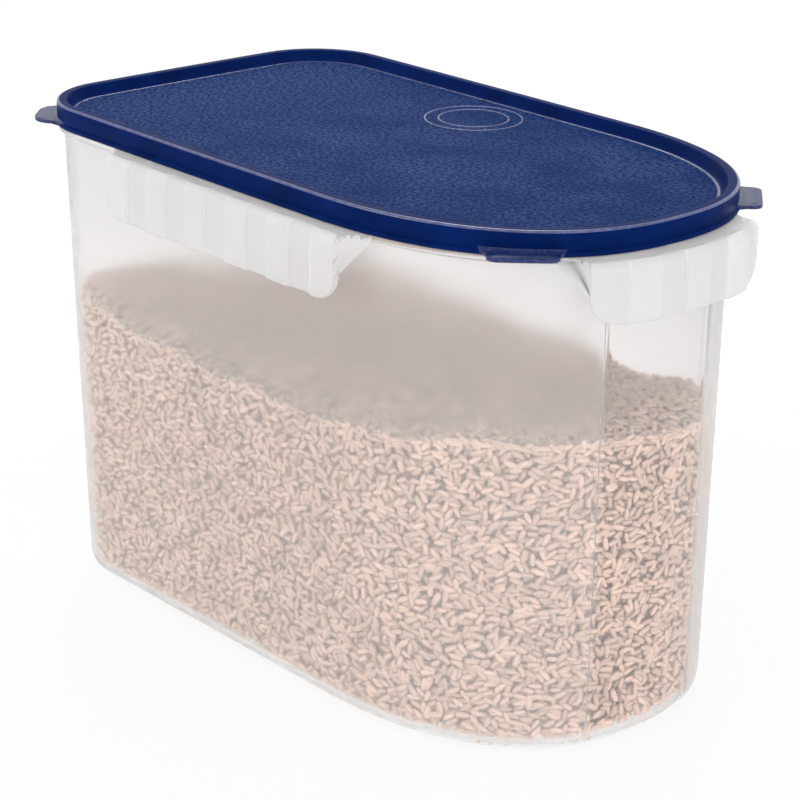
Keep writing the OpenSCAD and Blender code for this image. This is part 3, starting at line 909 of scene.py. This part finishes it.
class RICEBIN_OT_tabs(bpy.types.Operator):
    """Makes the four pull tabs, each with a hollow root, round corners and a raised pad"""
    bl_idname = "ricebin.tabs"
    bl_label = "Pull tabs"

    # Directions of the tabs in degrees, and the angle on the nose where the front tabs stand
    rear_turn = 225
    front_turn = -42
    front_place = 40
    # How far a tab starts inside the skirt, and the shares of its length where a row of points lies
    root_in = 0.0006
    rows = (0.0, 0.04, 0.08, 0.13, 0.18, 0.24, 0.3, 0.36, 0.5, 0.64, 0.74, 0.8, 0.86, 0.93, 1.0)
    # The root widens over this share of the length and rises from the tab, each by its own curve
    flare_share = 0.75
    flare_power = 1.7
    root_power = 2.2
    # The pad keeps this far from the skirt, and its edge slopes over this width
    pad_start = 0.0012
    pad_slope = 0.0005

    def execute(self, context):
        settings = context.scene.rice_bin
        outline = Outline(settings.plan)
        plan = settings.plan
        slant = plan.rear_radius * (1 - math.sqrt(0.5))
        rear = outline.bowed(slant - outline.half_length, slant - outline.half_width)
        front = outline.nose_point(math.radians(self.front_place), outline.half_width, plan.nose_length)
        tabs = settings.tabs
        ends = (("rear", rear, self.rear_turn, tabs.rear_corner, tabs.rear_flare),
                ("front", front, self.front_turn, tabs.front_corner, tabs.flare))
        for end, place, turn, corner, flare in ends:
            for side, mirrored in (("right", False), ("left", True)):
                self.tab(settings, outline, f"pull_tab_{end}_{side}", f"tab_{end}_{side}", place,
                         math.radians(turn), corner, flare, mirrored)
        return {"FINISHED"}

    def tab(self, settings, outline, name, node, place, turn, corner, flare, mirrored):
        """One tab: rows from its root at the skirt to its rounded end, then its thickness."""
        tabs = settings.tabs
        half = tabs.width / 2
        plain_top = TAB_HIGH.z - tabs.pad_height
        to_tab = Matrix.Rotation(-turn, 3, "Z")
        middle = Vector((*place, plain_top))
        skirt = [to_tab @ (spot - middle) for spot in outline.inset(self.root_in, plain_top)]
        near = sorted((spot.y, spot.x) for spot in skirt if spot.x > -0.02 and abs(spot.y) < 2 * half)
        corner_arc = [half - corner * (1 - math.sin(a)) for a in arc(0, 90, 7)]
        inner = corner_arc[0]
        across = sorted({round(side * y, 7) for y in corner_arc for side in (-1, 1)}
                        | {round(-inner + 2 * inner * i / 12, 7) for i in range(13)})
        bm = bmesh.new()
        line = None
        for share_out in self.rows:
            widened = (1 - min(share_out / self.flare_share, 1.0)) ** self.flare_power
            spots = []
            for y in across:
                into = max(abs(y) - (half - corner), 0.0)
                end = tabs.reach - corner + math.sqrt(max(corner ** 2 - into ** 2, 0.0))
                spread = y * (1 + flare / half * widened)
                root = float(np.interp(spread, [spot[0] for spot in near], [spot[1] for spot in near]))
                x = root + (end - root) * share_out
                inward = min(tabs.reach - x, half - abs(y), x - self.pad_start)
                pad = tabs.pad_height * eased((inward - tabs.pad_margin) / self.pad_slope + 0.5)
                rise = tabs.root_height * max(1 - (x - root) / tabs.root_reach, 0.0) ** self.root_power
                spots.append(Vector((x, spread, plain_top + max(pad, rise))))
            line = open_line(bm, spots) if line is None else grown(bm, line, spots, closed=False)
        lower = bmesh.ops.extrude_face_region(bm, geom=bm.faces[:])["geom"]
        for item in lower:
            if isinstance(item, bmesh.types.BMVert):
                item.co.z = TAB_LOW.z
        bmesh.ops.rotate(bm, cent=(0, 0, 0), matrix=Matrix.Rotation(turn, 3, "Z"), verts=bm.verts)
        bmesh.ops.translate(bm, vec=(*place, 0), verts=bm.verts)
        if mirrored:
            bmesh.ops.scale(bm, vec=(1, -1, 1), verts=bm.verts)
        bmesh.ops.recalc_face_normals(bm, faces=bm.faces)
        piece = finished(bm, name, material_for("navy_mottle", navy_mottle, settings))
        soften(piece, 0.0003, 3, 40)
        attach(piece, "lid")
        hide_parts(node)


class RiceBed:
    """The space that the rice fills, and its top surface."""

    # Heights of the swells and hollows of the top, and of its small waves
    rear_lift = 0.010
    nose_lift = 0.007
    far_drop = 0.007
    far_valley = 0.004
    near_dip = 0.0014
    wave = 0.0016
    ripple = 0.0009

    def __init__(self, settings):
        self.box = settings.container
        self.rice = settings.rice
        self.outline = Outline(settings.plan)
        self.heights = np.linspace(self.box.floor + 0.0012, self.rice.level + 0.03, 40)
        self.walls = np.array([self.inner_ring(z) for z in self.heights])
        steps = np.linalg.norm(np.roll(self.walls[20], -1, axis=0) - self.walls[20], axis=1)
        self.stations = np.concatenate([[0.0], np.cumsum(steps)])
        self.girth = float(self.stations[-1])
        self.level_ring = np.array(self.inner_ring(self.rice.level))
        self.level_edges = np.roll(self.level_ring, -1, axis=0) - self.level_ring
        self.level_sizes = (self.level_edges ** 2).sum(axis=1)

    def inner_ring(self, z, extra=0.0):
        """The inside of the wall at height z, as plan points."""
        inner_foot = self.box.foot_radius - self.box.wall
        sunk = clamped((self.box.floor + inner_foot - z) / inner_foot)
        pulled = inner_foot * (1 - math.sqrt(max(1 - sunk ** 2, 0.0)))
        return [(spot.x, spot.y) for spot in self.outline.wall(self.box, z, self.box.wall + pulled + extra)]

    def top(self, x, y):
        """Height of the rice at a place in plan: heaped at the rear and the nose, lower at the far side."""
        half = self.outline.half_width
        rear_lift = self.rear_lift * eased((-0.075 - x) / 0.06) * eased(0.5 - y / (2 * half))
        nose_lift = self.nose_lift * eased((x - 0.06) / 0.06)
        far_drop = -self.far_drop * eased(0.5 + y / (1.6 * half))
        far_drop -= self.far_valley * math.exp(-((x - 0.068) / 0.022) ** 2) * eased(0.5 + y / half)
        near_dip = -self.near_dip * math.exp(-((x + 0.04) / 0.026) ** 2) * eased(0.3 - y / half)
        waves = self.wave * math.sin(37 * x + 1.3) * math.cos(49 * y + 0.4)
        waves += self.ripple * math.sin(118 * x + 71 * y)
        return self.rice.level + rear_lift + nose_lift + far_drop + near_dip + waves

    def on_wall(self, station, z, depth):
        """Place, tangent and inward direction at a station round the wall."""
        station = station % self.girth
        i = min(int(np.searchsorted(self.stations, station, side="right")) - 1, len(self.stations) - 2)
        along = (station - self.stations[i]) / (self.stations[i + 1] - self.stations[i])
        row = (z - self.heights[0]) / (self.heights[1] - self.heights[0])
        j = int(min(max(row, 0), len(self.heights) - 2))
        up = row - j
        after = (i + 1) % len(self.walls[0])
        low = self.walls[j][i] * (1 - along) + self.walls[j][after] * along
        high = self.walls[j + 1][i] * (1 - along) + self.walls[j + 1][after] * along
        spot = low * (1 - up) + high * up
        tangent = self.walls[j][after] - self.walls[j][i]
        tangent = tangent / np.linalg.norm(tangent)
        inward = np.array((-tangent[1], tangent[0]))
        spot = spot + inward * depth
        return Vector((*spot, z)), Vector((*tangent, 0)), Vector((*inward, 0))

    def inside(self, x, y, margin):
        """True if a place in plan is at least margin inside the wall at the rice's level."""
        offsets = np.array((x, y)) - self.level_ring
        along = np.clip((offsets * self.level_edges).sum(axis=1) / self.level_sizes, 0, 1)
        away = offsets - self.level_edges * along[:, None]
        distances = np.hypot(away[:, 0], away[:, 1])
        i = int(distances.argmin())
        edge, offset = self.level_edges[i], offsets[i]
        return bool(edge[0] * offset[1] > edge[1] * offset[0] and distances[i] > margin)


def capsules_apart(first, second, gap):
    """True if two short lines in the plane stay more than gap apart, by their ends and middles."""
    for (ax, ay, adx, ady), (bx, by, bdx, bdy) in ((first, second), (second, first)):
        size = bdx * bdx + bdy * bdy
        for t in (-0.8, 0.0, 0.8):
            px, py = ax + adx * t - bx, ay + ady * t - by
            s = max(-1.0, min(1.0, (px * bdx + py * bdy) / size)) if size else 0.0
            if (px - bdx * s) ** 2 + (py - bdy * s) ** 2 < gap * gap:
                return False
    return True


def unwrapped(line, u, width):
    """A line moved once round the strip where that brings it nearer to u."""
    start = line[0]
    if width and start - u > width / 2:
        start -= width
    elif width and u - start > width / 2:
        start += width
    return (start, *line[1:])


def scattered(rng, width, height, rice, tries, wrap, allowed):
    """Random places and directions for grains on a flat strip, so that no two overlap much."""
    cell = rice.grain_length
    columns = max(int(width / cell), 1)
    cells = {}
    half = (rice.grain_length - rice.grain_width) / 2
    gap = rice.grain_width * 0.6
    found = []
    for _ in range(tries):
        u, v = rng.random() * width, rng.random() * height
        turn = rng.gauss(0, 0.6) if rng.random() < 0.6 else rng.random() * math.pi
        if not allowed(u, v):
            continue
        line = (u, v, half * math.cos(turn), half * math.sin(turn))
        column, row = int(u / cell) % columns, int(v / cell)
        near = [other for i in (-1, 0, 1) for j in (-1, 0, 1)
                for other in cells.get(((column + i) % columns if wrap else column + i, row + j), ())]
        if all(capsules_apart(line, unwrapped(other, u, width if wrap else None), gap) for other in near):
            cells.setdefault((column, row), []).append(line)
            found.append((u, v, turn))
    return found


def grain_shape(rice):
    """One grain along X: a long oval with blunt ends, as vertices and faces of its mesh."""
    bm = bmesh.new()
    bmesh.ops.create_uvsphere(bm, u_segments=6, v_segments=4, radius=0.5)
    bmesh.ops.rotate(bm, cent=(0, 0, 0), matrix=Matrix.Rotation(RIGHT_ANGLE, 3, "Y"), verts=bm.verts)
    for vert in bm.verts:
        slim = 1 + 0.2 * abs(vert.co.x * 2) ** 2
        vert.co.y *= slim
        vert.co.z *= slim * 0.82
    across = rice.grain_width * 1.06
    bmesh.ops.scale(bm, vec=(rice.grain_length, across, across), verts=bm.verts)
    bmesh.ops.recalc_face_normals(bm, faces=bm.faces)
    bm.verts.index_update()
    spots = np.array([vert.co[:] for vert in bm.verts])
    faces = [[vert.index for vert in face.verts] for face in bm.faces]
    bm.free()
    return spots, faces


def grain_heap(name, rice, poses, rng, material):
    """Many grains in one piece: poses has a place and three directions for each."""
    spots, faces = grain_shape(rice)
    count = len(poses)
    sizes = np.array([0.85 + 0.35 * rng.random() for _ in range(count)])
    places = np.array([pose[0][:] for pose in poses])
    turns = np.array([[axis[:] for axis in pose[1:]] for pose in poses])
    moved = np.einsum("kv,nvc->nkc", spots, turns) * sizes[:, None, None] + places[:, None, :]
    corners = [len(face) for face in faces]
    flat = np.concatenate([np.array(face) for face in faces])
    loops = (flat[None, :] + np.arange(count)[:, None] * len(spots)).ravel()
    totals = np.tile(corners, count)
    starts = np.concatenate([[0], np.cumsum(totals)[:-1]])
    mesh = bpy.data.meshes.new(name)
    mesh.vertices.add(count * len(spots))
    mesh.vertices.foreach_set("co", moved.astype(np.float32).ravel())
    mesh.loops.add(len(loops))
    mesh.loops.foreach_set("vertex_index", loops.astype(np.int32))
    mesh.polygons.add(len(totals))
    mesh.polygons.foreach_set("loop_start", starts.astype(np.int32))
    mesh.update(calc_edges=True)
    mesh.validate()
    shades = np.repeat([rng.random() for _ in range(count)], len(spots)).astype(np.float32)
    own = mesh.attributes.new("grain_shade", "FLOAT", "POINT")
    own.data.foreach_set("value", shades)
    end = np.clip((spots[:, 0] / rice.grain_length - 0.36) / 0.14, 0, 1)
    marked = np.array([rng.random() < 0.4 for _ in range(count)], float)
    tips = (end[None, :] * marked[:, None] * 0.75).ravel().astype(np.float32)
    tip = mesh.attributes.new("grain_tip", "FLOAT", "POINT")
    tip.data.foreach_set("value", tips)
    mesh.materials.append(material)
    mesh.shade_smooth()
    piece = bpy.data.objects.new(name, mesh)
    bpy.context.scene.collection.objects.link(piece)
    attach(piece, "container")


class RICEBIN_OT_rice(bpy.types.Operator):
    """Fills the bin with brown rice: grains along the walls and over the top of a plain core"""
    bl_idname = "ricebin.rice"
    bl_label = "Rice"

    # Places that are tried for the grains of one layer
    wall_tries = 52000
    top_tries = 26000
    # How far the core keeps under the top of the rice
    core_depth = 0.0038

    def execute(self, context):
        settings = context.scene.rice_bin
        if not settings.rice.filled:
            return {"FINISHED"}
        rice = settings.rice
        rng = random.Random(rice.seed)
        bed = RiceBed(settings)
        skin = rice_skin(settings)
        low = settings.container.floor + 0.0016
        for layer in range(rice.layers):
            depth = rice.grain_width * (0.55 + 0.8 * layer)
            poses = self.wall_grains(rng, bed, rice, low, depth)
            half = len(poses) // 2
            grain_heap(f"rice_wall_{layer + 1}_right", rice, poses[:half], rng, skin)
            grain_heap(f"rice_wall_{layer + 1}_left", rice, poses[half:], rng, skin)
        for layer in range(rice.layers):
            poses = self.top_grains(rng, bed, rice, rice.grain_width * 0.75 * layer)
            grain_heap(f"rice_top_{layer + 1}", rice, poses, rng, skin)
        self.core(settings, bed, rice)
        return {"FINISHED"}

    def wall_grains(self, rng, bed, rice, low, depth):
        """Grains that lie against the wall, mostly flat to it."""
        height = rice.level + 0.02 - low

        def allowed(u, v):
            spot, _, _ = bed.on_wall(u, low + v, depth)
            return low + v < bed.top(spot.x, spot.y) + 0.0002

        places = scattered(rng, bed.girth, height, rice, self.wall_tries, True, allowed)
        places.sort()
        up = Vector((0, 0, 1))
        poses = []
        for u, v, turn in places:
            tilt = rng.gauss(0, 0.16)
            sunk = depth + abs(tilt) * rice.grain_length * 0.34 + rng.random() * 0.0007
            spot, tangent, inward = bed.on_wall(u, low + v, sunk)
            flat = tangent * math.cos(turn) + up * math.sin(turn)
            along = flat * math.cos(tilt) + inward * math.sin(tilt)
            across = inward.cross(along).normalized()
            poses.append((spot, along, across, along.cross(across)))
        return poses

    def top_grains(self, rng, bed, rice, depth):
        """Grains that lie loosely over the top of the rice."""
        ring = bed.level_ring
        low_x, low_y = ring.min(axis=0)
        high_x, high_y = ring.max(axis=0)
        margin = rice.grain_width * 0.5

        def allowed(u, v):
            return bed.inside(low_x + u, low_y + v, margin)

        places = scattered(rng, high_x - low_x, high_y - low_y, rice, self.top_tries, False, allowed)
        up = Vector((0, 0, 1))
        poses = []
        for u, v, turn in places:
            x, y = low_x + u, low_y + v
            tilt = rng.gauss(0, 0.22)
            if not bed.inside(x, y, rice.grain_length * 0.5):
                turn = self.turn_along_wall(bed, x, y, turn)
            z = bed.top(x, y) - depth + rng.random() * 0.0008
            flat = Vector((math.cos(turn), math.sin(turn), 0))
            along = flat * math.cos(tilt) + up * math.sin(tilt)
            across = up.cross(along).normalized()
            poses.append((Vector((x, y, z)), along, across, along.cross(across)))
        return poses

    def turn_along_wall(self, bed, x, y, turn):
        """Turns a grain that is close to the wall so that it lies along it."""
        ring = bed.level_ring
        i = int(np.argmin(np.hypot(ring[:, 0] - x, ring[:, 1] - y)))
        step = ring[(i + 1) % len(ring)] - ring[i - 1]
        return math.atan2(step[1], step[0]) + 0.25 * (turn / math.pi - 0.5)

    def core(self, settings, bed, rice):
        """A closed core under the grains, in the rice's painted shade."""
        margin = rice.grain_width * (0.6 + 0.78 * rice.layers)
        low = settings.container.floor + 0.003
        heights = [low + (rice.level - 0.012 - low) * i / 8 for i in range(9)]
        bm = bmesh.new()
        first = line = closed_ring(bm, [Vector((x, y, low)) for x, y in bed.inner_ring(low, margin)])
        for z in heights[1:-1]:
            line = grown(bm, line, [Vector((x, y, z)) for x, y in bed.inner_ring(z, margin)])
        line = grown(bm, line, [Vector((x, y, bed.top(x, y) - self.core_depth))
                                for x, y in bed.inner_ring(heights[-1], margin)])
        bmesh.ops.contextual_create(bm, geom=first)
        middle = Vector((0.0, 0.0, 0.0))
        for vert in line:
            middle += vert.co / len(line)
        for shrink in (0.8, 0.6, 0.4, 0.2, 0.05):
            spots = []
            for vert in line:
                base = middle + (vert.co - middle) * (shrink / (shrink + 0.2) if shrink > 0.1 else 0.25)
                spots.append(Vector((base.x, base.y, bed.top(base.x, base.y) - self.core_depth)))
            line = grown(bm, line, spots)
        bmesh.ops.contextual_create(bm, geom=line)
        bmesh.ops.recalc_face_normals(bm, faces=bm.faces)
        piece = finished(bm, "rice_core", painted_rice_shade(settings))
        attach(piece, "container")


class RICEBIN_OT_studio(bpy.types.Operator):
    """Makes the pale floor, the soft lights, the surroundings and the camera"""
    bl_idname = "ricebin.studio"
    bl_label = "Studio"

    def execute(self, context):
        scene = context.scene
        studio = scene.rice_bin.studio
        self.camera(scene, studio)
        self.floor(studio)
        self.lamps()
        self.surroundings(scene, studio)
        scene.view_settings.view_transform = "Standard"
        return {"FINISHED"}

    def camera(self, scene, studio):
        """The camera of the photograph, from a fit to the bin's outline."""
        data = bpy.data.cameras.new("view")
        data.lens = studio.lens
        data.sensor_width = 36
        data.clip_start = 0.01
        data.clip_end = 50
        camera = bpy.data.objects.new("view", data)
        right = Vector((0.66397229, 0.74758126, 0.01621939)).normalized()
        up = Vector((-0.27455908, 0.2235622, 0.93522043)).normalized()
        back = right.cross(up).normalized()
        turn = Matrix((right, up, back)).transposed().to_4x4()
        place = Vector((0.68598, -0.61725, 0.44008))
        camera.matrix_world = Matrix.Translation(place) @ turn
        scene.collection.objects.link(camera)
        scene.camera = camera

    def floor(self, studio):
        """The plain floor: mostly even white where it is seen, but still with the bin's shadow."""
        bm = bmesh.new()
        bmesh.ops.create_grid(bm, x_segments=1, y_segments=1, size=studio.floor_size / 2)
        finish = Finish("studio_floor")
        paths = finish.node("ShaderNodeLightPath")
        seen = finish.reckon("MAXIMUM", paths.outputs["Is Camera Ray"], paths.outputs["Is Transmission Ray"])
        seen = finish.reckon("MAXIMUM", seen, paths.outputs["Is Glossy Ray"])
        share_white = finish.reckon("MULTIPLY", seen, 0.85)
        matt_grey = (0.86, 0.86, 0.86, 1.0)
        matt = finish.node("ShaderNodeBsdfDiffuse", {"Color": matt_grey}).outputs["BSDF"]
        white = finish.node("ShaderNodeEmission", {"Color": (*studio.backdrop, 1.0), "Strength": 1.0})
        floor_look = finish.show(finish.mixed(share_white, matt, white.outputs["Emission"]))
        floor = finished(bm, "studio_floor", floor_look)

    def lamp(self, name, place, size, power, tone=WHITE):
        """A soft rectangular lamp that shines at the middle of the bin."""
        data = bpy.data.lights.new(name, "AREA")
        data.shape = "RECTANGLE"
        data.size, data.size_y = size
        data.energy = power
        data.color = tone
        lamp = bpy.data.objects.new(name, data)
        lamp.location = place
        aim = Vector((0.0, 0.0, 0.1)) - Vector(place)
        lamp.rotation_euler = aim.to_track_quat("-Z", "Y").to_euler()
        bpy.context.scene.collection.objects.link(lamp)

    def lamps(self):
        self.lamp("key", place=(-0.7, -1.7, 0.75), size=(0.9, 0.7), power=7.5, tone=(1.0, 0.985, 0.965))
        self.lamp("fill", place=(1.9, -0.5, 0.5), size=(1.1, 0.7), power=9.0)
        self.lamp("edge light", place=(-1.1, 1.0, 1.5), size=(0.5, 0.5), power=7.0)

    def surroundings(self, scene, studio):
        world = bpy.data.worlds.new("studio")
        world.use_nodes = True
        tree = world.node_tree
        tree.nodes.clear()
        glow = tree.nodes.new("ShaderNodeBackground")
        glow.inputs["Color"].default_value = (*studio.backdrop, 1.0)
        output = tree.nodes.new("ShaderNodeOutputWorld")
        tree.links.new(glow.outputs["Background"], output.inputs["Surface"])
        scene.world = world


class RICEBIN_PT_panel(bpy.types.Panel):
    """Buttons that build the rice bin piece by piece"""
    bl_idname = "RICEBIN_PT_panel"
    bl_label = "Rice bin"
    bl_space_type = "VIEW_3D"
    bl_region_type = "UI"
    bl_category = "Rice bin"

    def draw(self, context):
        for step in STEPS:
            self.layout.operator(step.bl_idname)
        settings = context.scene.rice_bin
        for group in (settings.plan, settings.container, settings.grips, settings.lid, settings.tabs,
                      settings.rice, settings.studio):
            column = self.layout.column(align=True)
            for name in group.__annotations__:
                column.prop(group, name)


STEPS = (RICEBIN_OT_studio, RICEBIN_OT_container, RICEBIN_OT_side_grips, RICEBIN_OT_front_grip,
         RICEBIN_OT_lid, RICEBIN_OT_tabs, RICEBIN_OT_rice)
GROUPS = (RiceBinPlan, RiceBinContainer, RiceBinGrips, RiceBinLid, RiceBinTabs, RiceBinRice,
          RiceBinStudio, RiceBinSettings)
CLASSES = GROUPS + STEPS + (RICEBIN_PT_panel,)


def register():
    for kind in CLASSES:
        bpy.utils.register_class(kind)
    bpy.types.Scene.rice_bin = PointerProperty(type=RiceBinSettings)


def unregister():
    del bpy.types.Scene.rice_bin
    for kind in reversed(CLASSES):
        bpy.utils.unregister_class(kind)


def main():
    register()
    bpy.ops.ricebin.studio()
    bpy.ops.ricebin.container()
    bpy.ops.ricebin.side_grips()
    bpy.ops.ricebin.front_grip()
    bpy.ops.ricebin.lid()
    bpy.ops.ricebin.tabs()
    bpy.ops.ricebin.rice()


if __name__ == "__main__":
    main()
